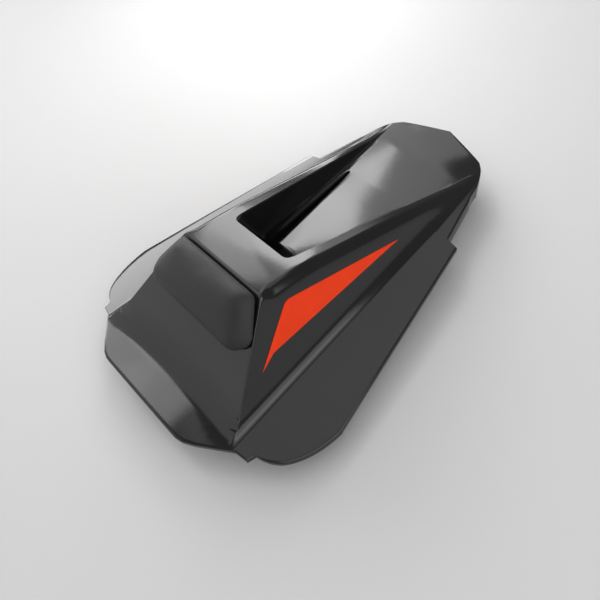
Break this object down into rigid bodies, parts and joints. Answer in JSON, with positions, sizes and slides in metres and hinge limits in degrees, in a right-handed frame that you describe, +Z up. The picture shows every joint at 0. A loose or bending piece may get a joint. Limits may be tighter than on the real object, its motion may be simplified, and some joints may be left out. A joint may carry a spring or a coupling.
{
  "type": "motorcycle seat cowl",
  "caption": "Pillion seat cowl: arched gloss cover with raised hump and open rear pocket, backrest pad, side stripes and ribbed base tray.",
  "frame": {"origin": "on the ground under the middle of the bounding box, level with the feet of the rubber buffers", "axes": "+Z up, +Y towards the tail (the backrest pad faces -Y), +X towards the left side"},
  "size_m": [0.2524, 0.361, 0.0967],
  "materials": {
    "gloss_black": "high-gloss black lacquer",
    "pad_vinyl": "matt vinyl skin over foam",
    "black_plastic": "plain black moulding",
    "zinc_steel": "zinc plated",
    "orange_film": "glossy self-adhesive film",
    "rubber": "matt"
  },
  "bodies": {
    "root": {"cover_shell": "gloss_black", "backrest_pad": "pad_vinyl", "pad_plate": "black_plastic", "pad_screws": "zinc_steel", "stripe_left": "orange_film", "stripe_right": "orange_film", "base_tray": "black_plastic", "buffer_front_left": "rubber", "buffer_front_right": "rubber", "buffer_rear_left": "rubber", "buffer_rear_right": "rubber", "cover_screws": "zinc_steel", "striker_plate": "zinc_steel", "lock_striker": "zinc_steel", "striker_bolts": "zinc_steel", "striker_nuts": "zinc_steel"}
  },
  "joints": []
}
